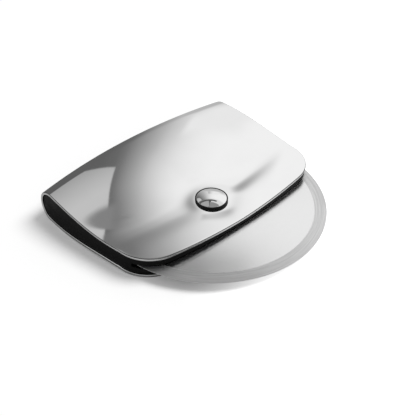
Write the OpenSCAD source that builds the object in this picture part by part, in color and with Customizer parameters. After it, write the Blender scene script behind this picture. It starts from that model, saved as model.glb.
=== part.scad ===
// Pizza wheel without a stick handle. A round blade turns between the two leaves of one
// folded steel sheet, which is pinched in at the axle and is held in the palm.
// It lies on its side on the table, z = 0, with the fold toward -X and the blade toward +X.
// The origin is the middle of its footprint. Millimetres.

/* [Blade] */
// Diameter of the round blade
blade_d = 100; // [85:1:120]
// Thickness of the blade's flat middle
blade_t = 1.2; // [0.8:0.1:1.8]
// Width of the ground bevel on each face
bevel_w = 5.4; // [2:0.2:12]
// Thickness left at the cutting edge
edge_t = 0.2; // [0.1:0.05:0.5]

/* [Shell] */
// Thickness of the folded sheet
sheet_t = 1.2; // [0.8:0.1:1.6]
// Space between the blade's edge and the inside of the fold
fold_gap = 6.7; // [2.5:0.1:12]
// Outer radius of the fold
fold_r = 7.4; // [6.5:0.1:11]
// How much further back the fold reaches at its middle than at its ends
fold_bow = 5.4; // [0:0.1:8]
// How far each side of the shell reaches past the blade, where it is widest
side_cover = 4.0; // [3.6:0.1:10]
// How much each side draws in from there to its two ends
side_bow = 1.4; // [0:0.1:1.6]
// How much further the ends of the fold draw in
fold_end_cut = 0.5; // [0:0.1:4]
// Distance from the axle to the front lip, at the middle
lip_reach = 19.3; // [16:0.1:30]
// Angle by which the lip has turned back where the front corners start
lip_turn = 8.0; // [2:0.2:16]
// Radius of the front corners in plan
corner_r = 16.5; // [8:0.5:22]
// Half the height of the shell at its side edges, beside the axle
side_half_h = 5.0; // [4.4:0.1:6]
// How much the lip rises again in front of the axle
lip_flare = 1.2; // [0:0.05:2.5]

/* [Insert] */
// How far the insert stays behind the edge of the sheet
insert_inset = 0.4; // [0.1:0.1:2]
// Space between the insert and the inside of the sheet
insert_fit = 0.15; // [0.05:0.05:0.3]
// Space between the insert and each face of the blade
slot_fit = 0.3; // [0.2:0.05:0.4]
// Space between the blade's edge and the round wall of the slot
slot_gap = 1.5; // [0.8:0.1:1.7]
// Space between the thrust washers and the opening around them
washer_space = 2.5; // [1:0.1:8]
// Diameter of the dowels that line up the two halves
dowel_d = 2.4; // [1.5:0.1:3]
// Length of the dowels
dowel_l = 8; // [4:0.5:9]

/* [Axle] */
// Diameter of the tube that the blade turns on
barrel_d = 6; // [5:0.1:8]
// Diameter of the screw in the tube
screw_d = 3.4; // [2.5:0.1:3.8]
// Outer diameter of the bush in the blade
bush_d = 10; // [9:0.1:14]
// Outer diameter of the thrust washers
washer_d = 15; // [12:0.5:20]
// Thickness of each thrust washer
washer_t = 0.75; // [0.65:0.05:1.2]
// Free play between each washer and the blade
play = 0.05; // [0.03:0.01:0.1]
// Running clearance of the bush on the tube, on the radius
running_fit = 0.05; // [0.02:0.01:0.1]
// Clearance of the tube and the screw in their holes, on the radius
hole_fit = 0.1; // [0.05:0.05:0.2]
// Clearance between a cap and the wall of its seal, on the radius
seal_fit = 0.05; // [0.02:0.01:0.1]
// Diameter of the domed caps
cap_d = 13.4; // [11:0.1:18]
// Height of a cap's straight side
cap_side_h = 0.6; // [0.5:0.1:2]
// Height of the dome above a cap's side
cap_dome_h = 0.7; // [0.4:0.1:1.5]
// Thickness of the seal under each cap
seal_t = 0.6; // [0.2:0.05:1]
// Wall of the seal that stands up round the foot of the cap
seal_wall = 0.4; // [0.3:0.05:1]
// Height of that wall
seal_rise = 0.5; // [0.2:0.05:0.8]
// Width across the flats of the hexagon socket in the lower cap
socket_w = 2.5; // [2:0.5:4]
// Depth of the hexagon socket
socket_depth = 1.3; // [0.8:0.1:1.6]

/* [Hidden] */
$fn = 96;

// Overrun of every cut, and the space between a cap's foot and the end of the tube
cut = 1;
barrel_gap = 0.5;
// Distance behind the axle at which the leaves stop falling and run level
trough_back = 5.5;
// How steeply the trough climbs from the axle to the sides
trough_power = 1.3;
// Length over which the ends of the fold draw in, from its back line round the bend
fold_end_len = 12;
// Rise of the lip at the ends, where the sides turn into it
end_flare = 0.1;
// Flat seat round the axle, past the seal or the washer
seat_margin = 0.6;
// Wall between the slot and a dowel, and the dowels' bearing from straight back
dowel_wall = 1.5;
dowel_bearing = 48;
// Radius at the rim of a cap, between its side and its dome
rim_r = 0.3;

blade_r = blade_d / 2;
half_w = blade_r + side_cover;
end_w = half_w - side_bow;
fold_reach = blade_r + fold_gap + sheet_t;
bush_r = bush_d / 2;
barrel_r = barrel_d / 2;
screw_r = screw_d / 2;
washer_r = washer_d / 2;
cap_r = cap_d / 2;
seal_r = cap_r + seal_fit + seal_wall;
seat_r = max(seal_r, washer_r) + seat_margin;
slot_r = blade_r + slot_gap;
slot_half = blade_t / 2 + slot_fit;
insert_open_r = washer_r + washer_space;

// Heights above the blade's middle plane at the axle
washer_z = blade_t / 2 + play;
seat_in_z = washer_z + washer_t;
seat_out_z = seat_in_z + sheet_t;
cap_z = seat_out_z + seal_t;
cap_top_z = cap_z + cap_side_h + cap_dome_h;

// Steps of the surface grid: along the lip, round a corner, along a leaf, round the fold
lip_steps = 6;
corner_steps = 6;
leaf_steps = 11;
fold_steps = 10;
side_count = lip_steps + corner_steps;

function smooth(t) = t * t * (3 - 2 * t);
function limit01(t) = min(1, max(0, t));

// Plan of the front edge, drawn in by e. Station k runs from -side_count to side_count.
function corner_v() = end_w - corner_r;
function lip_end_v(e) = corner_v() + (corner_r - e) * sin(lip_turn);
function corner_u(e) = lip_reach - e - lip_end_v(e) * tan(lip_turn) / 2 - (corner_r - e) * cos(lip_turn);
function corner_angle(k) = lip_turn + (90 - lip_turn) * (abs(k) - lip_steps) / corner_steps;
function front_v(k, e) = sign(k) * (abs(k) <= lip_steps
  ? lip_end_v(e) * abs(k) / lip_steps
  : corner_v() + (corner_r - e) * sin(corner_angle(k)));
function front_u(k, e) = abs(k) <= lip_steps
  ? lip_reach - e - tan(lip_turn) / (2 * lip_end_v(e)) * pow(front_v(k, e), 2)
  : corner_u(e) + (corner_r - e) * cos(corner_angle(k));

// A station keeps its share of the width, from -1 to 1, all along its section
function width_share(k, e) = front_v(k, e) / (end_w - e);
// The same place as a share of the sheet's own width
function sheet_share(k, e) = width_share(k, e) * (1 - e / half_w);
function fold_u(share) = -(fold_reach - fold_r) + fold_bow * pow(share, 2);
widest_u = (corner_u(0) + fold_u(1)) / 2;
// Half the width at the distance u, where run is the way along the sheet from the fold's back line
function half_width(u, run) = half_w
  - side_bow * pow(limit01(abs(u - widest_u) / (corner_u(0) - widest_u)), 2)
  - fold_end_cut * (1 - smooth(limit01(run / fold_end_len)));

function trough_h(share) = seat_out_z + (side_half_h - seat_out_z) * pow(abs(share), trough_power);
function flare(share) = end_flare + lip_flare * (1 - pow(abs(share), 1.5));
// Height of the leaf's outer face at the distance u, where the lip is at lip_u
function leaf_h(u, share, lip_u) =
  let (
    rise = smooth(limit01((-trough_back - u) / (-trough_back - fold_u(share)))),
    ahead = u + trough_back,
    flare_share = ahead > 0 ? pow(ahead / (lip_u + trough_back), 2) : 0
  )
  trough_h(share) + (fold_r - trough_h(share)) * rise + flare(share) * flare_share;

// Section at station k, drawn in by e in plan and by d from the outer face:
// the upper leaf from the lip back, then the upper quarter of the fold
function leaf_points(k, e, d) =
  let (share = sheet_share(k, e), lip = front_u(k, e), back = fold_u(share))
  [for (i = [0:leaf_steps])
    let (
      u = lip + (back - lip) * i / leaf_steps,
      run = u - back + fold_r * PI / 2
    )
    [u, width_share(k, e) * (half_width(u, run) - e), leaf_h(u, share, lip + e) - d]];
function fold_points(k, e, d) =
  let (back = fold_u(sheet_share(k, e)))
  [for (j = [1:fold_steps / 2])
    let (
      a = 90 + 180 * j / fold_steps,
      v = width_share(k, e) * (half_width(back, fold_r * PI * (180 - a) / 180) - e)
    )
    [back + (fold_r - d) * cos(a), v, (fold_r - d) * sin(a)]];
function half_section(k, e, d) = concat(leaf_points(k, e, d), fold_points(k, e, d));
function backward(list) = [for (i = [len(list) - 1:-1:0]) list[i]];
function below(list) = [for (p = list) [p[0], p[1], -p[2]]];
function without_last(list) = [for (i = [0:len(list) - 2]) list[i]];
function full_section(k, e, d) =
  let (h = half_section(k, e, d))
  concat(h, backward(below(without_last(h))));

function rest_points() = concat(
  [for (k = [0:side_count]) leaf_points(k, 0, 0)[0]],
  [[0, 0, cap_top_z]]);
// Slope at which a line that touches the fold's end also touches the point p of the shell
function rest_angle(p) =
  let (du = p[0] - fold_u(1))
  asin(fold_r / norm([du, p[2]])) - atan(p[2] / du);
// It rests on the ends of the fold and on the lip or, where they stand taller, on a cap
rest_tilt = min([for (p = rest_points()) rest_angle(p)]);
rest_lift = fold_r + fold_u(1) * sin(rest_tilt);
rest_shift = -(blade_r * cos(rest_tilt) + fold_u(0) * cos(rest_tilt) - fold_r) / 2;

// Everything is drawn about the axle and the blade's middle plane, then laid on the table
module lay()
  translate([rest_shift, 0, rest_lift]) rotate([0, rest_tilt, 0]) children();

module ring(r_out, r_in, z, h)
  translate([0, 0, z]) difference() {
    cylinder(r = r_out, h = h);
    translate([0, 0, -cut]) cylinder(r = r_in, h = h + 2 * cut);
  }

// A closed solid through rings of points that all have the same length. Each end face is
// given as triangles on the first ring.
module loft(rings, end_face) {
  n = len(rings[0]);
  m = len(rings);
  sides = [for (i = [0:m - 2]) for (j = [0:n - 1])
    let (a = i * n + j, b = i * n + (j + 1) % n)
    each [[a, b, a + n], [b, b + n, a + n]]];
  last = [for (t = end_face) [for (j = t) (m - 1) * n + j]];
  polyhedron(points = [for (r = rings) each r],
    faces = concat(sides, [for (t = end_face) backward(t)], last));
}
// Triangles of an end face between two edges of half the ring each, that run side by side
function strip(n) = [for (i = [0:n / 2 - 2])
  each [[i, i + 1, n - 2 - i], [i, n - 2 - i, n - 1 - i]]];

module folded_shell() {
  rings = [for (k = [-side_count:side_count])
    concat(full_section(k, 0, 0), backward(full_section(k, 0, sheet_t)))];
  color([0.78, 0.78, 0.80]) lay() difference() {
    union() {
      loft(rings, strip(len(rings[0])));
      for (side = [0, 1]) mirror([0, 0, side])
        translate([0, 0, seat_in_z]) cylinder(r = seat_r, h = sheet_t);
    }
    for (side = [0, 1]) mirror([0, 0, side])
      translate([0, 0, seat_out_z]) cylinder(r = seat_r, h = fold_r);
    translate([0, 0, -fold_r]) cylinder(r = barrel_r + hole_fit, h = 2 * fold_r);
  }
}

function dowel_place() = slot_r + dowel_wall + dowel_d / 2;
module at_dowels()
  for (side = [-1, 1]) rotate([0, 0, 180 + side * dowel_bearing])
    translate([dowel_place(), 0, 0]) children();

// Upper half of the insert, from the blade's middle plane to the inside of the sheet
module insert_half() {
  d = sheet_t + insert_fit;
  rings = [for (k = [-side_count:side_count])
    let (h = half_section(k, insert_inset, d))
    concat(h, backward([for (p = h) [p[0], p[1], 0]]))];
  difference() {
    loft(rings, strip(len(rings[0])));
    translate([0, 0, -cut]) cylinder(r = slot_r, h = slot_half + cut);
    translate([0, 0, -cut]) cylinder(r = insert_open_r, h = fold_r + cut);
    at_dowels() translate([0, 0, -cut]) cylinder(d = dowel_d, h = dowel_l / 2 + cut);
  }
}

module insert_upper()
  color([0.06, 0.06, 0.06]) lay() insert_half();

module insert_lower()
  color([0.09, 0.09, 0.09]) lay() mirror([0, 0, 1]) insert_half();

module insert_pins()
  color([0.6, 0.6, 0.6]) lay() at_dowels()
    translate([0, 0, -dowel_l / 2]) cylinder(d = dowel_d, h = dowel_l);

module blade()
  color([0.82, 0.82, 0.84]) lay() rotate_extrude()
    polygon([
      [bush_r, -blade_t / 2], [blade_r - bevel_w, -blade_t / 2], [blade_r, -edge_t / 2],
      [blade_r, edge_t / 2], [blade_r - bevel_w, blade_t / 2], [bush_r, blade_t / 2]
    ]);

module blade_bush()
  color([0.75, 0.62, 0.35]) lay()
    ring(bush_r, barrel_r + running_fit, -blade_t / 2, blade_t);

module thrust_washer()
  ring(washer_r, barrel_r + hole_fit, washer_z, washer_t);

module thrust_washer_upper()
  color([0.92, 0.92, 0.88]) lay() thrust_washer();

module thrust_washer_lower()
  color([0.88, 0.88, 0.84]) lay() mirror([0, 0, 1]) thrust_washer();

// Solid cap that stands on z = cap_z: a straight side, a small rim radius and a shallow dome
module cap() {
  dome_r = cap_r - rim_r;
  ball_r = (pow(dome_r, 2) + pow(cap_dome_h, 2)) / (2 * cap_dome_h);
  translate([0, 0, cap_z]) rotate_extrude() {
    square([cap_r, cap_side_h - rim_r]);
    square([cap_r - rim_r, cap_side_h]);
    intersection() {
      translate([cap_r - rim_r, cap_side_h - rim_r]) circle(r = rim_r);
      square([cap_r, cap_side_h]);
    }
    intersection() {
      translate([0, cap_side_h + cap_dome_h - ball_r]) circle(r = ball_r);
      translate([0, cap_side_h - rim_r]) square([dome_r, cap_dome_h + rim_r]);
    }
  }
}

module axle_barrel()
  color([0.85, 0.85, 0.87]) lay() difference() {
    union() {
      cap();
      translate([0, 0, barrel_gap - cap_z]) cylinder(r = barrel_r, h = 2 * cap_z - barrel_gap + rim_r);
    }
    translate([0, 0, -cap_z]) cylinder(r = screw_r + hole_fit, h = 2 * cap_z);
  }

module axle_screw()
  color([0.72, 0.72, 0.75]) lay() mirror([0, 0, 1]) difference() {
    union() {
      cap();
      translate([0, 0, barrel_gap - cap_z]) cylinder(r = screw_r, h = 2 * cap_z - barrel_gap + rim_r);
    }
    translate([0, 0, cap_top_z - socket_depth])
      cylinder(d = socket_w / cos(30), h = socket_depth + cut, $fn = 6);
  }

// A flat ring under the cap with a low wall round the cap's foot
module cap_seal()
  difference() {
    ring(seal_r, barrel_r + hole_fit, seat_out_z, seal_t + seal_rise);
    translate([0, 0, cap_z]) cylinder(r = cap_r + seal_fit, h = seal_rise + cut);
  }

module cap_seal_upper()
  color([0.1, 0.1, 0.1]) lay() cap_seal();

module cap_seal_lower()
  color([0.13, 0.13, 0.13]) lay() mirror([0, 0, 1]) cap_seal();

folded_shell();
insert_upper();
insert_lower();
insert_pins();
blade();
blade_bush();
thrust_washer_upper();
thrust_washer_lower();
axle_barrel();
axle_screw();
cap_seal_upper();
cap_seal_lower();
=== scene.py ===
"""Visual model of a pizza wheel: a round blade in a folded, mirror-polished steel sheet."""
import math

import bmesh
import bpy
import numpy as np
from mathutils import Matrix, Vector


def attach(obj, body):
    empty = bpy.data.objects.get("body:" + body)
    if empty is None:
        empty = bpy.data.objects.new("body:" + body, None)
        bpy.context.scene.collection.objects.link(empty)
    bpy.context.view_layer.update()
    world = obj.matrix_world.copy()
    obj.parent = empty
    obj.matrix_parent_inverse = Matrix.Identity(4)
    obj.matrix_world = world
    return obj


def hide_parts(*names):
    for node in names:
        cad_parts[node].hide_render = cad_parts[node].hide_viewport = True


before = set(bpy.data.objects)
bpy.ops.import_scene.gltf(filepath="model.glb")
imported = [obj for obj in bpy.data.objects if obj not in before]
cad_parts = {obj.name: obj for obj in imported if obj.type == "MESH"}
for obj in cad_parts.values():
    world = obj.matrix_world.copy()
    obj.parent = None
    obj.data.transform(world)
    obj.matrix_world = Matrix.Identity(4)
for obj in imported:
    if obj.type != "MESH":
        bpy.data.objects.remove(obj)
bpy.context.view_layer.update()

MM = 0.001
scene = bpy.context.scene


# Table, light tent, lamp and camera. The wheel lies on a pale table in a small tent, which
# only reflections in the metal see: white walls, a dark gap on the left under a soft box, a
# window with a dark board far behind it, and the dark opening that the camera looks through.
CAMERA_AT = (261.41, -250.39, 276.65)
CAMERA_LOOKS = (-0.57281, 0.55255, -0.60545)
CAMERA_ROLL, CAMERA_LENS, SENSOR_WIDTH = -0.62, 89.75, 36
CLIP_NEAR, CLIP_FAR = 10, 20000
TABLE_SIZE, TABLE_WHITE = 4000, (0.9, 0.9, 0.9)
# The table's glow for the camera: even, and stronger on the right, as painted light that washes out the
# shadow there
TABLE_GLOW, RIGHT_PAINTED_LIGHT, GLOW_FROM, GLOW_TO = 0.15, 0.8, 10, -35
AMBIENT, LAMP_LEVEL = 0.4, 0.56
LAMP_TURN, LAMP_HEIGHT, LAMP_SPREAD = -66, 56, 36
TENT_RADIUS, FAR_RADIUS, BALL_PARTS = 130, 500, 96

# Straight away from the camera and to its left, along the table, and up from the table
AWAY, LEFT, UP = (-0.70711, 0.70711, 0), (-0.70711, -0.70711, 0), (0, 0, 1)
# How light the tent's wall is, by degrees from straight away, left counting up
WALL_TONES = [
    (-180, 0.75), (-150, 0.62), (-120, 0.85), (-95, 0.8), (-70, 0.9), (-40, 1.0), (-12, 1.0),
    (-6, 0.96), (-2, 0.9), (1, 0.83), (4, 0.73), (7, 0.63), (10, 0.51), (14, 0.385), (18, 0.28),
    (21, 0.2), (24, 0.155), (30, 0.13), (60, 0.11), (80, 0.25), (100, 0.75), (125, 0.95),
    (150, 0.6), (180, 0.75)]
HORIZON_TONE, HIGH_WALL_SHARE = 0.53, 0.8
BOX_LOW_TONE, BOX_TONE, OVER_BOX_TONE, HIGH_BOX_TONE = 0.41, 0.6, 0.25, 0.42
FAR_TONE, BOARD_TONE, GAP_TONE, CEILING_TONE, DARK_TONE = 0.92, 0.22, 0.1, 0.3, 0.12

# Soft edges in the tent, in degrees: where a field starts, and where it is full. A foot or a
# head is measured up from the table, and a right or left edge from straight away.
HORIZON, HIGH_WALL = (19, 34), (50, 56)
BOX_EDGE, BOX_SHADE, BOX_RIGHT, BOX_LEFT = (-0.5, 0.5), (38, 50), (22.5, 23.5), (74, 68)
OVER_BOX_FOOT, OVER_BOX_RIGHT = (52.5, 54), (15, 22)
GAP_FOOT, GAP_RIGHT, GAP_LEFT = (55.5, 56.5), (-26, -22), (84, 80)
TOP_FOOT, WHITE_TOP_LEFT, HIGH_BOX_RIGHT, HIGH_BOX_LEFT = (60, 61), (-4, -6), (3, 4), (70, 60)
CEILING_FOOT, CEILING_SIDES = (75.5, 77), (120, 95)
OPENING_FOOT, OPENING_HEAD, OPENING_SIDES = (26, 36), (80, 70), (105, 120)
WINDOW_FOOT, WINDOW_HEAD, WINDOW_RIGHT, WINDOW_LEFT = (22, 27), (40, 34), (-18, -12), (4, 1)
BOARD_HEAD, BOARD_RIGHT = (39, 29), (-5, 8)
# The soft box's foot is level left of its bend, and rises by the slope to its right end
BOX_FOOT, BOX_BEND, BOX_SLOPE = 36.8, 36.0, 0.5
# How much lower the ceiling begins on the right
CEILING_DROP = 12.0


def put(tree, kind, ins=None, **settings):
    """Add a shader node, with its settings, and values or links for its inputs."""
    node = tree.nodes.new("ShaderNode" + kind)
    for name, value in settings.items():
        setattr(node, name, value)
    for key, value in (ins or {}).items():
        if isinstance(value, bpy.types.NodeSocket):
            tree.links.new(value, node.inputs[key])
        else:
            node.inputs[key].default_value = value
    return node


def calc(tree, operation, *values):
    """One step of arithmetic on numbers or sockets."""
    return put(tree, "Math", dict(enumerate(values)), operation=operation).outputs[0]


def dot(tree, vector, axis):
    """How far a vector reaches along an axis."""
    return put(tree, "VectorMath", {0: vector, 1: axis}, operation="DOT_PRODUCT").outputs["Value"]


def scaled(tree, vector, factors):
    """A vector multiplied along each axis, or by one number."""
    return put(tree, "VectorMath", {0: vector, 1: factors}, operation="MULTIPLY").outputs[0]


def step_up(tree, value, start, end, low=0.0, high=1.0, kind="SMOOTHSTEP"):
    """From low to high while the value goes from start to end."""
    ins = {"Value": value, "From Min": start, "From Max": end, "To Min": low, "To Max": high}
    return put(tree, "MapRange", ins, interpolation_type=kind).outputs["Result"]


def blend(tree, share, first, second):
    """The first number, or as much of the second as the share says."""
    return put(tree, "Mix", {"Factor": share, "A": first, "B": second}).outputs["Result"]


def field(tree, *edges):
    """Where a field is, from its soft edges, each with the value that it is measured on."""
    share = 1.0
    for value, edge in edges:
        share = calc(tree, "MULTIPLY", share, step_up(tree, value, *edge))
    return share


def new_group(name, ins, outs):
    """An empty shader node group with named sockets, given as name and kind of socket."""
    group = bpy.data.node_groups.new(name, "ShaderNodeTree")
    for side, sockets in (("INPUT", ins), ("OUTPUT", outs)):
        for label, kind in sockets.items():
            group.interface.new_socket(label, in_out=side, socket_type="NodeSocket" + kind)
    return group, group.nodes.new("NodeGroupInput").outputs, group.nodes.new("NodeGroupOutput").inputs


def new_material(name):
    """An empty material, its node tree, and the socket that its shader goes to."""
    material = bpy.data.materials.new(name)
    material.use_nodes = True
    material.node_tree.nodes.clear()
    output = material.node_tree.nodes.new("ShaderNodeOutputMaterial")
    return material, material.node_tree, output.inputs["Surface"]


def make_bearings():
    """Degrees left of straight away and above the table, seen from the wheel."""
    group, given, result = new_group(
        "bearings", {"Place": "Vector"}, {"Around": "Float", "Above": "Float"})
    away, left, up = (dot(group, given["Place"], axis) for axis in (AWAY, LEFT, UP))
    level = calc(group, "SQRT", calc(group, "MULTIPLY_ADD", away, away,
                                     calc(group, "MULTIPLY", left, left)))
    for label, first, second in (("Around", left, away), ("Above", up, level)):
        angle = calc(group, "DEGREES", calc(group, "ARCTAN2", first, second))
        group.links.new(angle, result[label])
    return group


bearings = make_bearings()


def make_tent_tone():
    """How light the tent is at a place on its wall, or on the table that carries it on."""
    group, given, result = new_group(
        "tent_tone", {"Place": "Vector"}, {"Tone": "Float", "Window": "Float"})
    seen = put(group, "Group", {"Place": given["Place"]}, node_tree=bearings).outputs
    around, above = seen["Around"], seen["Above"]
    off_centre = calc(group, "ABSOLUTE", around)
    ramp = put(group, "ValToRGB", {"Fac": step_up(group, around, -180, 180, kind="LINEAR")})
    stops = ramp.color_ramp.elements
    for degrees, tone in WALL_TONES:
        at = (degrees + 180) / 360
        stop = stops[0] if at == 0 else stops[len(stops) - 1] if at == 1 else stops.new(at)
        stop.color = (tone, tone, tone, 1)
    low_wall = step_up(group, above, *HORIZON, HORIZON_TONE, 1.0)
    high_wall = step_up(group, above, *HIGH_WALL, 1.0, HIGH_WALL_SHARE)
    wall = calc(group, "MULTIPLY", calc(group, "MINIMUM", ramp.outputs[0], low_wall), high_wall)
    # The soft box over the dark gap, and the darker wall over the box
    slant = calc(group, "MAXIMUM", calc(group, "SUBTRACT", BOX_BEND, around), 0.0)
    box_foot = calc(group, "MULTIPLY_ADD", slant, BOX_SLOPE, BOX_FOOT)
    over_foot = calc(group, "SUBTRACT", above, box_foot)
    in_box = field(group, (over_foot, BOX_EDGE), (around, BOX_RIGHT), (around, BOX_LEFT))
    box = step_up(group, above, *BOX_SHADE, BOX_LOW_TONE, BOX_TONE, "LINEAR")
    over_box = field(group, (above, OVER_BOX_FOOT), (around, OVER_BOX_RIGHT))
    tone = blend(group, over_box, blend(group, in_box, wall, box), OVER_BOX_TONE)
    # Higher up, which shows most in the domed caps, a dark gap lies round a second soft box,
    # and the white wall goes on to the right of it
    white_top = field(group, (above, TOP_FOOT), (around, WHITE_TOP_LEFT))
    gap = field(group, (above, GAP_FOOT), (around, GAP_RIGHT), (around, GAP_LEFT))
    gap = calc(group, "MULTIPLY", gap, calc(group, "SUBTRACT", 1.0, white_top))
    tone = blend(group, gap, tone, GAP_TONE)
    high_box = field(group, (above, TOP_FOOT), (around, HIGH_BOX_RIGHT), (around, HIGH_BOX_LEFT))
    tone = blend(group, high_box, tone, HIGH_BOX_TONE)
    # The ceiling over the far half, and the dark opening round the camera
    right_side = calc(group, "LESS_THAN", around, 0.0)
    in_ceiling = calc(group, "MULTIPLY_ADD", right_side, CEILING_DROP, above)
    ceiling = field(group, (in_ceiling, CEILING_FOOT), (off_centre, CEILING_SIDES))
    tone = blend(group, ceiling, tone, CEILING_TONE)
    opening = field(group, (above, OPENING_FOOT), (above, OPENING_HEAD), (off_centre, OPENING_SIDES))
    tone = blend(group, opening, tone, DARK_TONE)
    group.links.new(tone, result["Tone"])
    # The window lies low in the middle
    window = field(group, (above, WINDOW_FOOT), (above, WINDOW_HEAD),
                   (around, WINDOW_RIGHT), (around, WINDOW_LEFT))
    group.links.new(window, result["Window"])
    return group


tent_tone = make_tent_tone()


def tent_material():
    """The tent's wall, with a hole for the window."""
    material, tree, surface = new_material("tent_wall")
    place = put(tree, "TexCoord").outputs["Object"]
    tent = put(tree, "Group", {"Place": place}, node_tree=tent_tone).outputs
    wall = put(tree, "Emission", {"Color": tent["Tone"]}).outputs[0]
    hole = put(tree, "BsdfTransparent", {"Color": (1, 1, 1, 1)}).outputs[0]
    mixed = put(tree, "MixShader", {0: tent["Window"], 1: wall, 2: hole}).outputs[0]
    tree.links.new(mixed, surface)
    material.cycles.emission_sampling = "NONE"
    return material


def far_material():
    """A pale wall far behind the window, with a dark board before it."""
    material, tree, surface = new_material("far_wall")
    place = put(tree, "TexCoord").outputs["Object"]
    seen = put(tree, "Group", {"Place": place}, node_tree=bearings).outputs
    board = field(tree, (seen["Above"], BOARD_HEAD), (seen["Around"], BOARD_RIGHT))
    tone = blend(tree, board, FAR_TONE, BOARD_TONE)
    tree.links.new(put(tree, "Emission", {"Color": tone}).outputs[0], surface)
    material.cycles.emission_sampling = "NONE"
    return material


def table_material():
    """Pale and dull. Mirrors see the tent's tone on it, and the camera sees its glow too, with painted
    light that is stronger on the right.
    """
    material, tree, surface = new_material("table_top")
    path = put(tree, "LightPath").outputs
    place = put(tree, "TexCoord").outputs["Object"]
    tone = put(tree, "Group", {"Place": place}, node_tree=tent_tone).outputs["Tone"]
    seen = blend(tree, path["Is Glossy Ray"], 1.0, tone)
    dull = put(tree, "BsdfDiffuse", {"Color": scaled(tree, TABLE_WHITE, seen)}).outputs[0]
    # The camera sees the table glow: evenly on the left, and more strongly on the right, as painted light
    # that washes out the shadow there
    level = step_up(tree, dot(tree, place, LEFT), GLOW_FROM * MM, GLOW_TO * MM, TABLE_GLOW, RIGHT_PAINTED_LIGHT)
    strength = calc(tree, "MULTIPLY", path["Is Camera Ray"], level)
    glow = put(tree, "Emission", {"Strength": strength}).outputs[0]
    tree.links.new(put(tree, "AddShader", {0: dull, 1: glow}).outputs[0], surface)
    return material


def stand(name, mesh, material):
    """An object of the studio, which isn't part of the wheel."""
    obj = bpy.data.objects.new(name, mesh)
    scene.collection.objects.link(obj)
    mesh.materials.append(material)
    return obj


half = TABLE_SIZE * MM / 2
table_mesh = bpy.data.meshes.new("table")
table_mesh.from_pydata([(-half, -half, 0), (half, -half, 0), (half, half, 0), (-half, half, 0)],
                       [], [(0, 1, 2, 3)])
stand("table", table_mesh, table_material())

for name, radius, material in (("tent", TENT_RADIUS, tent_material()),
                               ("far_wall", FAR_RADIUS, far_material())):
    ball = bmesh.new()
    bmesh.ops.create_uvsphere(ball, u_segments=BALL_PARTS, v_segments=BALL_PARTS // 2, radius=radius * MM)
    ball_mesh = bpy.data.meshes.new(name)
    ball.to_mesh(ball_mesh)
    ball.free()
    wall = stand(name, ball_mesh, material)
    wall.visible_camera = wall.visible_diffuse = wall.visible_shadow = False
    wall.visible_transmission = wall.visible_volume_scatter = False

world = bpy.data.worlds.new("room")
scene.world = world
world.use_nodes = True
tree = world.node_tree
tree.nodes.clear()
path = put(tree, "LightPath").outputs
shown = calc(tree, "MAXIMUM", path["Is Camera Ray"], calc(
    tree, "MAXIMUM", path["Is Glossy Ray"], path["Is Transmission Ray"]))
sky = put(tree, "Background", {"Color": (1, 1, 1, 1), "Strength": blend(tree, shown, AMBIENT, 1.0)})
tree.links.new(sky.outputs[0], tree.nodes.new("ShaderNodeOutputWorld").inputs["Surface"])

lamp_turn, lamp_height = math.radians(LAMP_TURN), math.radians(LAMP_HEIGHT)
lamp_side = math.cos(lamp_turn) * Vector(AWAY) + math.sin(lamp_turn) * Vector(LEFT)
lamp_from = math.cos(lamp_height) * lamp_side + math.sin(lamp_height) * Vector(UP)
lamp_data = bpy.data.lights.new("soft_lamp", "SUN")
lamp_data.angle = math.radians(LAMP_SPREAD)
lamp_data.energy = LAMP_LEVEL * math.pi / math.sin(lamp_height)
lamp = bpy.data.objects.new("soft_lamp", lamp_data)
scene.collection.objects.link(lamp)
lamp.rotation_euler = lamp_from.to_track_quat("Z", "Y").to_euler()
lamp.visible_glossy = False

camera_data = bpy.data.cameras.new("camera")
camera_data.lens, camera_data.sensor_width = CAMERA_LENS, SENSOR_WIDTH
camera_data.clip_start, camera_data.clip_end = CLIP_NEAR * MM, CLIP_FAR * MM
camera = bpy.data.objects.new("camera", camera_data)
scene.collection.objects.link(camera)
camera.location = Vector(CAMERA_AT) * MM
level_look = Vector(CAMERA_LOOKS).to_track_quat("-Z", "Y").to_matrix()
camera.rotation_euler = (level_look @ Matrix.Rotation(math.radians(CAMERA_ROLL), 3, "Z")).to_euler()
scene.camera = camera
scene.view_settings.view_transform = "Standard"


# Folded shell: one sheet of stainless steel, pressed to a bowed fold at the back and
# pinched in at the axle, so that it fills the palm. Its edges are rounded, and the whole
# sheet is polished to a mirror.
SHEET, BORE_R = 1.2, 3.1
HALF_W, END_W = 54.0, 52.6
LIP_REACH, LIP_TURN = 19.3, math.radians(8.0)
CORNER_R = 16.5
CORNER_ACROSS = END_W - CORNER_R
FOLD_R, FOLD_BACK, FOLD_BOW = 7.4, 50.5, 5.4
FOLD_END_CUT, FOLD_END_LEN = 0.5, 12
SEAT_H, SEAT_FLAT, SEAT_BLEND, SEAT_POWER = 2.6, 7.2, 4.0, 1.6
SIDE_H, TROUGH_BACK, TROUGH_POWER, SOFTEN = 5.0, 5.5, 1.3, 0.0025
END_FLARE, LIP_FLARE, FLARE_POWER = 0.1, 1.2, 1.5
PINCH_DEEP, PINCH_AT, PINCH_BOW = 0.9, -1.8, 0.0015
PINCH_BACK, PINCH_FRONT, PINCH_POWER = 10.5, 6.2, 4
EDGE_ROUND, EDGE_STEPS = 0.22, 5
LIP_PARTS, CORNER_PARTS, LEAF_PARTS, FOLD_PARTS, BORE_PARTS = 34, 20, 84, 18, 96
MERGE_WITHIN, FLAT_WITHIN = 0.001, 0.0001
# How the wheel lies on the table: the tilt of its blade, and the place of the blade's middle
REST_TILT, REST_AT = math.radians(2.41493), (3.94978, 0.0, 5.49967)

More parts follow.
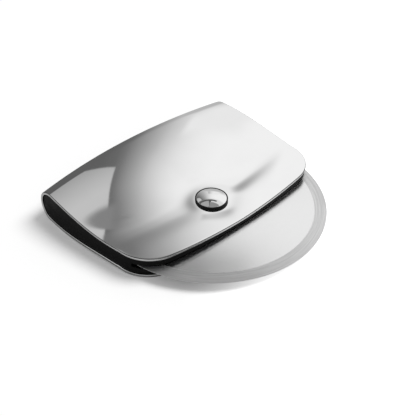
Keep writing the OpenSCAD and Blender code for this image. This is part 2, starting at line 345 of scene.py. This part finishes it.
# Ranges of tones and roughness go with a pattern, over the span that most of it lies in
PATTERN_SPAN = (0.3, 0.7)
STEEL_TONES, STEEL_ROUGHS, SCRATCH_ROUGH = (0.87, 0.858), (0.035, 0.05), 0.02
SMUDGE_DARKENS, SMUDGE_DULLS = (0.4, 0.75), (0.5, 0.72)
SCRATCH_TURNS, SCRATCH_STRETCH, SCRATCH_SHOWS = (0.3, 1.4, 2.5), (0.02, 1, 0.3), (0.62, 0.7)
# The tones for the outer rounding of the edge are painted shade, so dark that they draw a dark line round
# the sheet
CUT_TONES, PAINTED_SHADE_EDGE_TONES, EDGE_ROUGHS = (0.68, 0.92), (0.1105, 0.1495), (0.15, 0.25)
EDGE_STRETCH = (0.25, 0.25, 6)
# The sheet's finishes, by the number of their material slot
POLISHED, CUT_EDGE, PAINTED_SHADE_EDGE = 0, 1, 2


def smooth(share):
    """An ease from 0 to 1 that starts and ends level."""
    share = np.clip(share, 0, 1)
    return share * share * (3 - 2 * share)


def soft_power(share, power):
    """A power of the share's size, without the kink in the middle."""
    return (share * share + SOFTEN) ** (power / 2) - SOFTEN ** (power / 2)


def front_edge(station, inset):
    """Plan of the front edge, drawn in by the inset: how far ahead of the axle and how far
    across. A station is 0 in the middle, 1 where the lip ends and 2 at the side, and is
    negative on the other side."""
    size = np.abs(station)
    corner_r = CORNER_R - inset
    turn = LIP_TURN + (math.pi / 2 - LIP_TURN) * np.clip(size - 1, 0, 1)
    lip_end = CORNER_ACROSS + corner_r * math.sin(LIP_TURN)
    corner_at = LIP_REACH - inset - lip_end * math.tan(LIP_TURN) / 2 - corner_r * math.cos(LIP_TURN)
    on_lip = size <= 1
    across = np.where(on_lip, lip_end * size, CORNER_ACROSS + corner_r * np.sin(turn))
    ahead = np.where(on_lip, LIP_REACH - inset - math.tan(LIP_TURN) / (2 * lip_end) * across ** 2,
                     corner_at + corner_r * np.cos(turn))
    return ahead, np.sign(station) * across


def half_width(ahead, run):
    """Half the sheet's width, where run is the way round from the fold's back line."""
    corner_at = front_edge(np.array(2.0), 0)[0]
    widest = (corner_at - FOLD_BACK + FOLD_BOW) / 2
    off = np.clip(np.abs(ahead - widest) / (corner_at - widest), 0, 1)
    return HALF_W - (HALF_W - END_W) * off ** 2 - FOLD_END_CUT * (1 - smooth(run / FOLD_END_LEN))


def leaf_height(ahead, across, share, lip_at, back):
    """Height of the leaf's outer face over the blade's middle plane. The share is how near
    the side the point is, and the leaf runs from lip_at to back."""
    side = SEAT_H + (SIDE_H - SEAT_H) * soft_power(share, TROUGH_POWER)
    rise = smooth((-TROUGH_BACK - ahead) / (-TROUGH_BACK - back))
    flare = END_FLARE + LIP_FLARE * (1 - soft_power(share, FLARE_POWER))
    to_lip = np.maximum(ahead + TROUGH_BACK, 0) / (lip_at + TROUGH_BACK)
    past = ahead - PINCH_AT + PINCH_BOW * across ** 2
    pinch = PINCH_DEEP * np.exp(-(past / np.where(past < 0, PINCH_BACK, PINCH_FRONT)) ** 2)
    height = (side + (FOLD_R - side) * rise + flare * to_lip ** 2
              - pinch * (1 - share ** PINCH_POWER))
    off_seat = np.maximum(np.hypot(ahead, across) - SEAT_FLAT, 0) / SEAT_BLEND
    return SEAT_H + (height - SEAT_H) * (1 - np.exp(-off_seat ** SEAT_POWER))


def sheet_point(station, way, inset, depth):
    """A point of the sheet's upper half, so far in from its edge and so deep under its face.
    The way is 0 at the lip, 1 where the fold begins and 2 on the fold's back line."""
    station, way, inset, depth = np.broadcast_arrays(station, way, inset, depth)
    lip_at, lip_across = front_edge(station, inset)
    width_share = lip_across / (END_W - inset)
    share = width_share * (1 - inset / HALF_W)
    back = -FOLD_BACK + FOLD_BOW * share ** 2
    angle = math.pi / 2 * (1 + np.clip(way - 1, 0, 1))
    on_leaf = way <= 1
    ahead = lip_at + (back - lip_at) * np.minimum(way, 1)
    run = np.where(on_leaf, ahead - back + FOLD_R * math.pi / 2, FOLD_R * (math.pi - angle))
    across = width_share * (half_width(ahead, run) - inset)
    leaf_z = leaf_height(ahead, across, share, lip_at + inset, back) - depth
    return np.stack([np.where(on_leaf, ahead, back + (FOLD_R - depth) * np.cos(angle)), across,
                     np.where(on_leaf, leaf_z, (FOLD_R - depth) * np.sin(angle))], -1)


def two_stretches(first_parts, second_parts):
    """Steps from 0 to 1 and on to 2, with a number of parts for each stretch."""
    second = np.linspace(1, 2, second_parts + 1)[1:]
    return np.concatenate([np.linspace(0, 1, first_parts + 1), second])


def stations():
    """All stations, from one side round the front edge to the other."""
    half = two_stretches(LIP_PARTS, CORNER_PARTS)
    return np.concatenate([-half[:0:-1], half])[:, None]


def lay(points):
    """From the blade's own plane, in millimetres, to its place on the table, in metres."""
    ahead, across, high = np.asarray(points, float).reshape(-1, 3).T
    level, lean = math.cos(REST_TILT), math.sin(REST_TILT)
    turned = np.stack([ahead * level + high * lean, across, -ahead * lean + high * level], -1)
    return (turned + REST_AT) * MM


class MeshMaker:
    """Collects points and faces, and makes one clean closed mesh of them."""

    def __init__(self):
        self.points, self.faces, self.face_finishes = [], [], []
        self.count, self.finish = 0, POLISHED

    def add(self, points):
        """Take points in, and give back their numbers, laid out alike."""
        numbers = np.arange(self.count, self.count + points[..., 0].size).reshape(points.shape[:-1])
        self.points.append(points.reshape(-1, 3))
        self.count += numbers.size
        return numbers

    def face(self, *faces):
        """Faces as lists of point numbers, which take the finish in use."""
        self.faces += faces
        self.face_finishes += [self.finish] * len(faces)

    def grid(self, numbers):
        """Faces between all neighbours in a grid of points."""
        quads = np.stack([numbers[:-1, :-1], numbers[1:, :-1], numbers[1:, 1:], numbers[:-1, 1:]], -1)
        self.face(*quads.reshape(-1, 4).tolist())

    def band(self, first, second, closed=True):
        """Faces between two rows of points."""
        if closed:
            first, second = np.append(first, first[0]), np.append(second, second[0])
        self.grid(np.stack([first, second], 1))

    def mesh(self, name):
        """One mesh of all that was taken in, laid on the table."""
        made = bmesh.new()
        verts = [made.verts.new(point) for point in lay(np.concatenate(self.points))]
        for face, finish in zip(self.faces, self.face_finishes):
            made.faces.new([verts[number] for number in face]).material_index = finish
        bmesh.ops.remove_doubles(made, verts=made.verts, dist=MERGE_WITHIN * MM)
        bmesh.ops.dissolve_degenerate(made, edges=made.edges, dist=FLAT_WITHIN * MM)
        bmesh.ops.recalc_face_normals(made, faces=made.faces)
        mesh = bpy.data.meshes.new(name)
        made.to_mesh(mesh)
        made.free()
        return mesh


def round_off(radius, steps):
    """Steps of a rounded edge, as how far each is drawn in and how deep it lies."""
    bend = np.linspace(0, math.pi / 2, steps + 1)[1:]
    return [(radius * (1 - math.sin(angle)), radius * (1 - math.cos(angle))) for angle in bend]


def ring_points(radius, height, parts, at=(0, 0)):
    """Points round the axle, or round another place on the blade's plane."""
    turn = np.linspace(0, 2 * math.pi, parts, endpoint=False)
    return np.stack([at[0] + radius * np.cos(turn), at[1] + radius * np.sin(turn),
                     np.full(parts, float(height))], -1)


def cutter_mesh(radius, start, end, parts=BORE_PARTS, at=(0, 0)):
    """A round cutter, square to the blade, between two heights."""
    maker = MeshMaker()
    rings = [maker.add(ring_points(radius, height, parts, at)) for height in (start, end)]
    maker.band(*rings)
    maker.face(*[ring.tolist() for ring in rings])
    return maker.mesh("cutter")


def cut_away(mesh, cutters):
    """The mesh with the cutters taken out of it."""
    body = bpy.data.objects.new("blank", mesh)
    tools = [bpy.data.objects.new("cutter", cutter) for cutter in cutters]
    for obj in [body] + tools:
        scene.collection.objects.link(obj)
    for tool in tools:
        cut = body.modifiers.new("cut", "BOOLEAN")
        cut.operation, cut.solver, cut.object = "DIFFERENCE", "EXACT", tool
    result = bpy.data.meshes.new_from_object(
        body.evaluated_get(bpy.context.evaluated_depsgraph_get()))
    for obj in [body] + tools:
        bpy.data.objects.remove(obj)
    return result


def make_piece(name, mesh, materials, node, body, sharp=32):
    """A shown piece that stands for a CAD node and rides on a body. Edges of more degrees
    than sharp stay sharp, and a mesh that has its materials already keeps them."""
    if not mesh.materials:
        for material in materials:
            mesh.materials.append(material)
    mesh.shade_smooth()
    mesh.set_sharp_from_angle(angle=math.radians(sharp))
    mesh.name = name
    piece = bpy.data.objects.new(name, mesh)
    scene.collection.objects.link(piece)
    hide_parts(node)
    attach(piece, body)
    return piece


def shell_mesh(finishes):
    """The sheet's two faces, from lip to lip, the rounded edge between them, and the bore."""
    station = stations()
    half_way = two_stretches(LEAF_PARTS, FOLD_PARTS)
    way = np.concatenate([half_way, half_way[-2::-1]])[None, :]
    side = np.where(np.arange(way.size) < half_way.size, 1.0, -1.0)[None, :]

    def sheet(station, way, side, inset, depth):
        """Points of the whole sheet, where side is 1 above the blade and -1 below it."""
        points = sheet_point(station, way, inset, depth)
        points[..., 2] *= side
        return points

    def rim(grid):
        """The edge of a grid, in order, as one closed row."""
        grid = np.broadcast_to(grid, (station.size, way.size))
        return np.concatenate([grid[:-1, 0], grid[-1, :-1], grid[:0:-1, -1], grid[0, :0:-1]])

    maker = MeshMaker()
    outer = maker.add(sheet(station, way, side, EDGE_ROUND, 0.0))
    inner = maker.add(sheet(station, way, side, EDGE_ROUND, SHEET))
    maker.grid(outer)
    maker.grid(inner)
    half_rim = round_off(EDGE_ROUND, EDGE_STEPS)
    last = rim(outer)
    for inset, depth in half_rim + [(inset, SHEET - depth) for inset, depth in half_rim[::-1]]:
        row = maker.add(sheet(rim(station), rim(way), rim(side), inset, depth))
        # The outer rounding takes the painted shade of the dark edge line, the rest the cut edge's finish
        maker.finish = PAINTED_SHADE_EDGE if depth <= EDGE_ROUND else CUT_EDGE
        maker.band(last, row)
        last = row
    maker.band(last, rim(inner))
    blank = maker.mesh("blank")
    for finish in finishes:
        blank.materials.append(finish)
    return cut_away(blank, [cutter_mesh(BORE_R, -FOLD_R, FOLD_R)])


def make_axle_place():
    """Where a point lies about the axle, in millimetres and turns."""
    group, given, result = new_group("axle_place", {}, {
        "Place": "Vector", "Radius": "Float", "Turn": "Float", "Height": "Float"})
    level, lean = math.cos(REST_TILT), math.sin(REST_TILT)
    offset = put(group, "VectorMath", {
        0: put(group, "TexCoord").outputs["Object"], 1: Vector(REST_AT) * MM},
        operation="SUBTRACT").outputs[0]
    sides = [calc(group, "DIVIDE", dot(group, offset, axis), MM)
             for axis in ((level, 0, -lean), (0, 1, 0), (lean, 0, level))]
    place = put(group, "CombineXYZ", dict(zip("XYZ", sides))).outputs[0]
    flat = scaled(group, place, (1, 1, 0))
    radius = put(group, "VectorMath", {0: flat}, operation="LENGTH").outputs["Value"]
    turn = calc(group, "DIVIDE", calc(group, "ARCTAN2", sides[1], sides[0]), 2 * math.pi)
    for label, value in (("Place", place), ("Radius", radius), ("Turn", turn), ("Height", sides[2])):
        group.links.new(value, result[label])
    return group


def noise(tree, place, scale, detail):
    """Cloudy noise, so many times finer than the place's own unit."""
    return put(tree, "TexNoise", {"Vector": place, "Scale": scale, "Detail": detail}).outputs["Fac"]


def make_fine_scratches():
    """Hairlines in three directions, each from a noise that is stretched a long way."""
    group, given, result = new_group(
        "fine_scratches", {"Place": "Vector", "Scale": "Float"}, {"Lines": "Float"})
    total = 0.0
    for turn in SCRATCH_TURNS:
        turned = put(group, "VectorRotate", {"Vector": given["Place"], "Angle": turn},
                     rotation_type="Z_AXIS").outputs[0]
        long = noise(group, scaled(group, turned, SCRATCH_STRETCH), given["Scale"], detail=3.0)
        total = calc(group, "ADD", total, step_up(group, long, *SCRATCH_SHOWS))
    group.links.new(total, result["Lines"])
    return group


axle_place, fine_scratches = make_axle_place(), make_fine_scratches()


def at_axle(tree):
    """The place about the axle, which the patterns in the metal and the plastic go by."""
    return put(tree, "Group", node_tree=axle_place).outputs["Place"]


def vary(tree, pattern, ends, span=PATTERN_SPAN):
    """From one end to the other of a range while the pattern goes through a span."""
    return step_up(tree, pattern, *span, *ends)


def relief(tree, pattern, strength, depth):
    """A bump from a pattern that is so many millimetres deep."""
    ins = {"Height": pattern, "Strength": strength, "Distance": depth * MM}
    return put(tree, "Bump", ins).outputs[0]


def mirror_steel():
    """Buffed to a mirror: faint hairlines, and cloudy smudges that a hand leaves."""
    material, tree, surface = new_material("mirror_steel")
    place = at_axle(tree)
    lines = put(tree, "Group", {"Place": place, "Scale": 2.2}, node_tree=fine_scratches).outputs[0]
    smudge = noise(tree, place, scale=0.09, detail=4.0)
    smudged = vary(tree, smudge, STEEL_ROUGHS, SMUDGE_DULLS)
    shader = put(tree, "BsdfPrincipled", {
        "Base Color": vary(tree, smudge, STEEL_TONES, SMUDGE_DARKENS), "Metallic": 1.0,
        "Roughness": calc(tree, "MULTIPLY_ADD", lines, SCRATCH_ROUGH, smudged),
        "Normal": relief(tree, lines, strength=0.02, depth=0.01)})
    tree.links.new(shader.outputs[0], surface)
    return material


def edge_steel(name, tones):
    """An edge of the sheet, blanked and rounded on a buff, with fine lines along it."""
    material, tree, surface = new_material(name)
    grain = noise(tree, scaled(tree, at_axle(tree), EDGE_STRETCH), scale=1.0, detail=5.0)
    shader = put(tree, "BsdfPrincipled", {
        "Base Color": vary(tree, grain, tones), "Metallic": 1.0,
        "Roughness": vary(tree, grain, EDGE_ROUGHS),
        "Normal": relief(tree, grain, strength=0.15, depth=0.02)})
    tree.links.new(shader.outputs[0], surface)
    return material


# The cut edge is bright, and outside it the rounding is painted shade: nearly black steel that draws a
# dark line along the edge
shell_finishes = [mirror_steel(), edge_steel("cut_edge_steel", CUT_TONES),
                  edge_steel("painted_shade_edge_steel", PAINTED_SHADE_EDGE_TONES)]
make_piece("shell", shell_mesh(shell_finishes), shell_finishes, "folded_shell", "grip")


# Insert: two halves moulded in black plastic, closed round the blade and held between the
# leaves by the axle. Two steel dowels line them up.
INSERT_INSET, INSERT_DEEP, INSERT_ROUND, INSERT_CHAMFER = 0.4, 1.35, 0.4, 0.1
INSERT_LEAF_PARTS, INSERT_FOLD_PARTS, INSERT_STEPS = 42, 12, 6
SLOT_R, SLOT_HALF, SLOT_PARTS, OPEN_R = 51.5, 0.9, 240, 10.0
DOWEL_R, DOWEL_HALF, DOWEL_PARTS = 1.2, 4.0, 32
DOWEL_AT, DOWEL_BEARING = 54.2, math.radians(48)
DOWEL_PLACES = [(-DOWEL_AT * math.cos(DOWEL_BEARING), across * DOWEL_AT * math.sin(DOWEL_BEARING))
                for across in (1, -1)]
CUT_OVER = 1
PLASTIC_TONES, PLASTIC_ROUGHS, PLASTIC_SHINE = (0.0024, 0.0039), (0.41, 0.51), 0.12


def insert_mesh(side):
    """One half: side is 1 for the upper and -1 for the lower."""
    station = stations()
    way = two_stretches(INSERT_LEAF_PARTS, INSERT_FOLD_PARTS)[None, :]

    def open_edge(grid):
        """From the fold along one side, across the front and back along the other side."""
        grid = np.broadcast_to(grid, (station.size, way.size))
        return np.concatenate([grid[0, ::-1], grid[1:-1, 0], grid[-1, :]])

    maker = MeshMaker()
    top = maker.add(sheet_point(station, way, INSERT_INSET + INSERT_ROUND, INSERT_DEEP) * (1, 1, side))
    maker.grid(top)
    edge = open_edge(station), open_edge(way)
    levels = [sheet_point(*edge, INSERT_INSET + inset, INSERT_DEEP + depth)
              for inset, depth in round_off(INSERT_ROUND, INSERT_STEPS)]
    wall_foot = levels[-1].copy()
    wall_foot[:, 2] = np.minimum(wall_foot[:, 2], INSERT_CHAMFER)
    foot = sheet_point(*edge, INSERT_INSET + INSERT_CHAMFER, INSERT_DEEP + INSERT_ROUND)
    foot[:, 2] = 0
    rows = [open_edge(top)]
    for level in levels + [wall_foot, foot]:
        rows.append(maker.add(level * (1, 1, side)))
        maker.band(rows[-2], rows[-1], closed=False)
    first_end, last_end = ([row[end] for row in rows] for end in (0, -1))
    maker.face(rows[-1].tolist() + last_end[-2:0:-1] + top[::-1, -1].tolist() + first_end[1:-1])
    under = -side * CUT_OVER
    cutters = [cutter_mesh(SLOT_R, under, side * SLOT_HALF, SLOT_PARTS),
               cutter_mesh(OPEN_R, under, side * FOLD_R)]
    for at in DOWEL_PLACES:
        cutters.append(cutter_mesh(DOWEL_R, under, side * DOWEL_HALF, DOWEL_PARTS, at))
    return cut_away(maker.mesh("blank"), cutters)


def black_plastic():
    """Moulded with a fine spark-eroded grain and faint flow marks."""
    material, tree, surface = new_material("black_plastic")
    place = at_axle(tree)
    grain = noise(tree, place, scale=7.0, detail=4.0)
    flow = noise(tree, place, scale=0.12, detail=2.0)
    shader = put(tree, "BsdfPrincipled", {
        "Base Color": vary(tree, flow, PLASTIC_TONES), "Roughness": vary(tree, flow, PLASTIC_ROUGHS),
        "Specular IOR Level": PLASTIC_SHINE,
        "Normal": relief(tree, grain, strength=0.25, depth=0.02)})
    tree.links.new(shader.outputs[0], surface)
    return material


insert_black = black_plastic()
for name, node, side in (("insert_top", "insert_upper", 1), ("insert_bottom", "insert_lower", -1)):
    make_piece(name, insert_mesh(side), [insert_black], node, "grip")


# Dowels: two ground steel pins with chamfered ends, half in each insert.
DOWEL_CHAMFER = 0.25
PIN_TONES, PIN_ROUGHS, PIN_STRETCH = (0.5, 0.6), (0.18, 0.3), (0.3, 0.3, 14)


def mirrored(upper_half):
    """A whole section, from the half of it above the blade's middle plane."""
    return [(radius, -height) for radius, height in upper_half[::-1]] + upper_half


def dowels_mesh():
    """Both pins in one mesh."""
    half_pin = [(DOWEL_R, DOWEL_HALF - DOWEL_CHAMFER), (DOWEL_R - DOWEL_CHAMFER, DOWEL_HALF)]
    maker = MeshMaker()
    for at in DOWEL_PLACES:
        rings = [maker.add(ring_points(radius, height, DOWEL_PARTS, at))
                 for radius, height in mirrored(half_pin)]
        for first, second in zip(rings, rings[1:]):
            maker.band(first, second)
        maker.face(rings[0].tolist(), rings[-1].tolist())
    return maker.mesh("dowels")


def ground_pin_steel():
    """Centreless ground: fine rings round the pin, square to its length."""
    material, tree, surface = new_material("ground_pin_steel")
    rings = noise(tree, scaled(tree, at_axle(tree), PIN_STRETCH), scale=1.0, detail=3.0)
    shader = put(tree, "BsdfPrincipled", {
        "Base Color": vary(tree, rings, PIN_TONES), "Metallic": 1.0,
        "Roughness": vary(tree, rings, PIN_ROUGHS),
        "Normal": relief(tree, rings, strength=0.2, depth=0.01)})
    tree.links.new(shader.outputs[0], surface)
    return material


make_piece("dowels", dowels_mesh(), [ground_pin_steel()], "insert_pins", "grip")


# Blade: a disc of hardened stainless steel, ground to a bevel on each face. It turns on the
# axle's tube. The flat is fine satin, and the grinding wheel has left rings on the bevel.
BLADE_R, BLADE_HALF, BEVEL_R, EDGE_HALF, BUSH_R = 50.0, 0.6, 44.6, 0.1, 5.0
FLAT_STEP, EDGE_STEP, BLADE_PARTS, BLADE_SHARP = 4, 0.5, 360, 2
FLAT_TONES, FLAT_ROUGH, FLAT_RELIEF, SATIN_STRETCH = (0.84, 0.82), 0.22, 0.05, (9, 0.15, 1)
BEVEL_TONES, BEVEL_ROUGHS, BEVEL_RELIEF, BEVEL_SOFT = (0.7, 0.86), (0.48, 0.42), 0.3, (-0.05, 0.1)
GRIND_SPAN = (0.35, 0.65)


def lathe_mesh(profile, parts, side=1):
    """A closed section of radii and heights, turned round the axle."""
    maker = MeshMaker()
    rings = [maker.add(ring_points(radius, side * height, parts)) for radius, height in profile]
    for first, second in zip(rings, rings[1:] + rings[:1]):
        maker.band(first, second)
    return maker.mesh("turned")


def make_turned_lines():
    """Rings round the axle, as fine as the scale says, that start and end along the way."""
    group, given, result = new_group("turned_lines", {"Scale": "Float", "Length": "Float"}, {
        "Lines": "Float", "Radius": "Float"})
    place = put(group, "Group", node_tree=axle_place).outputs
    angle = calc(group, "MULTIPLY", place["Turn"], 2 * math.pi)
    rings = put(group, "CombineXYZ", {
        "X": calc(group, "MULTIPLY", calc(group, "COSINE", angle), given["Length"]),
        "Y": calc(group, "MULTIPLY", calc(group, "SINE", angle), given["Length"]),
        "Z": calc(group, "MULTIPLY", calc(group, "ADD", place["Radius"], place["Height"]),
                  given["Scale"])}).outputs[0]
    lines = put(group, "TexNoise", {"Vector": rings, "Scale": 1.0, "Detail": 4.0, "Roughness": 0.6})
    group.links.new(lines.outputs["Fac"], result["Lines"])
    group.links.new(place["Radius"], result["Radius"])
    return group


turned_lines = make_turned_lines()


def blade_steel():
    """Satin lines along the flat and ground rings round the bevel, in one pattern."""
    material, tree, surface = new_material("blade_steel")
    turned = put(tree, "Group", {"Scale": 5.0, "Length": 2.5}, node_tree=turned_lines).outputs
    on_bevel = step_up(tree, turned["Radius"], *(BEVEL_R + off for off in BEVEL_SOFT))
    satin = noise(tree, scaled(tree, at_axle(tree), SATIN_STRETCH), scale=1.0, detail=3.0)
    grain = blend(tree, on_bevel, satin, turned["Lines"])
    flat_tone, bevel_tone, bevel_rough = (
        vary(tree, grain, ends, GRIND_SPAN) for ends in (FLAT_TONES, BEVEL_TONES, BEVEL_ROUGHS))
    strength = blend(tree, on_bevel, FLAT_RELIEF, BEVEL_RELIEF)
    shader = put(tree, "BsdfPrincipled", {
        "Base Color": blend(tree, on_bevel, flat_tone, bevel_tone), "Metallic": 1.0,
        "Roughness": blend(tree, on_bevel, FLAT_ROUGH, bevel_rough),
        "Normal": relief(tree, grain, strength, depth=0.02)})
    tree.links.new(shader.outputs[0], surface)
    return material


edge_rise = EDGE_STEP * (BLADE_HALF - EDGE_HALF) / (BLADE_R - BEVEL_R)
half_blade = [(BLADE_R, EDGE_HALF), (BLADE_R - EDGE_STEP, EDGE_HALF + edge_rise), (BEVEL_R, BLADE_HALF),
              (BEVEL_R - FLAT_STEP, BLADE_HALF), (BUSH_R + FLAT_STEP, BLADE_HALF), (BUSH_R, BLADE_HALF)]
make_piece("blade_disc", lathe_mesh(mirrored(half_blade), BLADE_PARTS), [blade_steel()], "blade",
           "wheel", sharp=BLADE_SHARP)


# Bush and thrust washers: a sintered bronze bush is pressed into the blade, and a slippery
# white plastic washer keeps each face of the blade off the sheet.
BUSH_BORE, BUSH_CHAMFER = 3.05, 0.12
WASHER_R, WASHER_BORE, WASHER_Z, WASHER_T, WASHER_ROUND = 7.5, 3.1, 0.65, 0.75, 0.12
RING_STEPS, RING_PARTS = 5, 96
BRONZE, BRONZE_ROUGHS, PORE_EDGE, PORE_SHARE = (0.62, 0.42, 0.2), (0.25, 0.42), (0.3, 0.12), 0.35
WASHER_TONES, WASHER_ROUGHS = (0.73, 0.78), (0.4, 0.5)


def ring_profile(outer, bore, low, high, soften):
    """The section of a ring whose four edges are rounded, from its outer upper edge on."""
    points = []
    for quarter, (radius, height, out, up) in enumerate((
            (outer, high, 1, 1), (bore, high, -1, 1), (bore, low, -1, -1), (outer, low, 1, -1))):
        for angle in (quarter + np.linspace(0, 1, RING_STEPS)) * math.pi / 2:
            points.append((radius - out * soften + soften * math.cos(angle),
                           height - up * soften + soften * math.sin(angle)))
    return points


def sintered_bronze():
    """Pores full of oil over fine turning rings."""
    material, tree, surface = new_material("sintered_bronze")
    lines = put(tree, "Group", {"Scale": 9.0, "Length": 1.5}, node_tree=turned_lines).outputs["Lines"]
    cells = put(tree, "TexVoronoi", {"Vector": at_axle(tree), "Scale": 6.0}).outputs["Distance"]
    pore = step_up(tree, cells, *PORE_EDGE)
    height = calc(tree, "SUBTRACT", lines, pore)
    shader = put(tree, "BsdfPrincipled", {
        "Base Color": scaled(tree, BRONZE, step_up(tree, pore, 0, 1, 1.0, PORE_SHARE)), "Metallic": 1.0,
        "Roughness": vary(tree, lines, BRONZE_ROUGHS),
        "Normal": relief(tree, height, strength=0.4, depth=0.03)})
    tree.links.new(shader.outputs[0], surface)
    return material


def slippery_plastic():
    """Turned from white bar, which leaves soft rings."""
    material, tree, surface = new_material("slippery_plastic")
    lines = put(tree, "Group", {"Scale": 7.0, "Length": 1.0}, node_tree=turned_lines).outputs["Lines"]
    shader = put(tree, "BsdfPrincipled", {
        "Base Color": vary(tree, lines, WASHER_TONES), "Roughness": vary(tree, lines, WASHER_ROUGHS),
        "Normal": relief(tree, lines, strength=0.2, depth=0.02)})
    tree.links.new(shader.outputs[0], surface)
    return material


bush_section = ring_profile(BUSH_R, BUSH_BORE, -BLADE_HALF, BLADE_HALF, BUSH_CHAMFER)
make_piece("bush", lathe_mesh(bush_section, RING_PARTS), [sintered_bronze()], "blade_bush", "wheel")
washer_section = ring_profile(WASHER_R, WASHER_BORE, WASHER_Z, WASHER_Z + WASHER_T, WASHER_ROUND)
washer_plastic = slippery_plastic()
for name, node, side in (("washer_top", "thrust_washer_upper", 1),
                         ("washer_bottom", "thrust_washer_lower", -1)):
    make_piece(name, lathe_mesh(washer_section, RING_PARTS, side), [washer_plastic], node, "grip")


# Axle: a steel tube with a polished, domed cap, and a screw with the same cap driven into
# it from below. Each cap sits in a black rubber seal, whose low wall shows round its foot.
CAP_R, CAP_Z, CAP_SIDE, CAP_DOME, CAP_RIM = 6.7, 3.2, 0.4, 0.95, 0.25
CAP_TOP = CAP_Z + CAP_SIDE + CAP_DOME
CAP_PARTS, RIM_STEPS, DOME_STEPS = 128, 9, 28
TUBE_R, TUBE_BORE, SCREW_R, TUBE_END = 3.0, 1.8, 1.7, -2.7
SOCKET_R, SOCKET_DEPTH, SOCKET_SIDES = 1.25, 1.3, 6
SEAL_R, SEAL_IN, SEAL_BORE, SEAL_Z, SEAL_TOP, SEAL_ROUND = 7.15, 6.75, 3.1, 2.6, 3.7, 0.15
CAP_TONES, CAP_ROUGHS = (0.85, 0.87), (0.03, 0.06)
RUBBER_TONES, RUBBER_ROUGHS, RUBBER_SHINE, DUST_SPAN = (0.006, 0.018), (0.5, 0.65), 0.25, (0.5, 0.8)


def cap_profile():
    """From the outer foot of the cap over its rim and dome to the middle."""
    dome_r = CAP_R - CAP_RIM
    ball_r = (dome_r ** 2 + CAP_DOME ** 2) / (2 * CAP_DOME)
    rim_z = CAP_Z + CAP_SIDE - CAP_RIM
    rim = [(dome_r + CAP_RIM * math.cos(angle), rim_z + CAP_RIM * math.sin(angle))
           for angle in np.linspace(0, math.pi / 2, RIM_STEPS)]
    dome = [(radius, CAP_TOP - ball_r + math.sqrt(ball_r ** 2 - radius ** 2))
            for radius in np.linspace(dome_r, 0, DOME_STEPS)[1:]]
    return [(CAP_R, CAP_Z)] + rim + dome


def cap_steel():
    """Turned, then buffed: rings that only show in the gloss."""
    material, tree, surface = new_material("cap_steel")
    lines = put(tree, "Group", {"Scale": 6.0, "Length": 1.0}, node_tree=turned_lines).outputs["Lines"]
    shader = put(tree, "BsdfPrincipled", {
        "Base Color": vary(tree, lines, CAP_TONES), "Metallic": 1.0,
        "Roughness": vary(tree, lines, CAP_ROUGHS),
        "Normal": relief(tree, lines, strength=0.03, depth=0.01)})
    tree.links.new(shader.outputs[0], surface)
    return material


def black_rubber():
    """Matt rubber with a bloom of pale dust."""
    material, tree, surface = new_material("black_rubber")
    dust = noise(tree, at_axle(tree), scale=5.0, detail=5.0)
    shader = put(tree, "BsdfPrincipled", {
        "Base Color": vary(tree, dust, RUBBER_TONES, DUST_SPAN),
        "Roughness": vary(tree, dust, RUBBER_ROUGHS), "Specular IOR Level": RUBBER_SHINE,
        "Normal": relief(tree, dust, strength=0.3, depth=0.02)})
    tree.links.new(shader.outputs[0], surface)
    return material


polished_cap = cap_steel()
tube_section = [(TUBE_BORE, TUBE_END), (TUBE_R, TUBE_END), (TUBE_R, CAP_Z)] + cap_profile() + [
    (0, CAP_Z), (TUBE_BORE, CAP_Z)]
make_piece("axle_tube", lathe_mesh(tube_section, CAP_PARTS), [polished_cap], "axle_barrel", "grip")

# The screw's cap has a socket for a hexagon key
screw_section = [(0, TUBE_END), (SCREW_R, TUBE_END), (SCREW_R, CAP_Z)] + cap_profile()
socket_cutter = cutter_mesh(SOCKET_R / math.cos(math.pi / SOCKET_SIDES), SOCKET_DEPTH - CAP_TOP,
                            -CAP_TOP - CUT_OVER, SOCKET_SIDES)
screw_mesh = cut_away(lathe_mesh(screw_section, CAP_PARTS, side=-1), [socket_cutter])
make_piece("axle_bolt", screw_mesh, [polished_cap], "axle_screw", "grip")

upper_edges, lower_edges = slice(2 * RING_STEPS), slice(2 * RING_STEPS, None)
seal_section = (ring_profile(SEAL_R, SEAL_IN, CAP_Z, SEAL_TOP, SEAL_ROUND)[upper_edges]
                + [(SEAL_IN, CAP_Z), (SEAL_BORE, CAP_Z)]
                + ring_profile(SEAL_R, SEAL_BORE, SEAL_Z, CAP_Z, SEAL_ROUND)[lower_edges])
seal_rubber = black_rubber()
for name, node, side in (("seal_top", "cap_seal_upper", 1), ("seal_bottom", "cap_seal_lower", -1)):
    make_piece(name, lathe_mesh(seal_section, RING_PARTS, side), [seal_rubber], node, "grip")
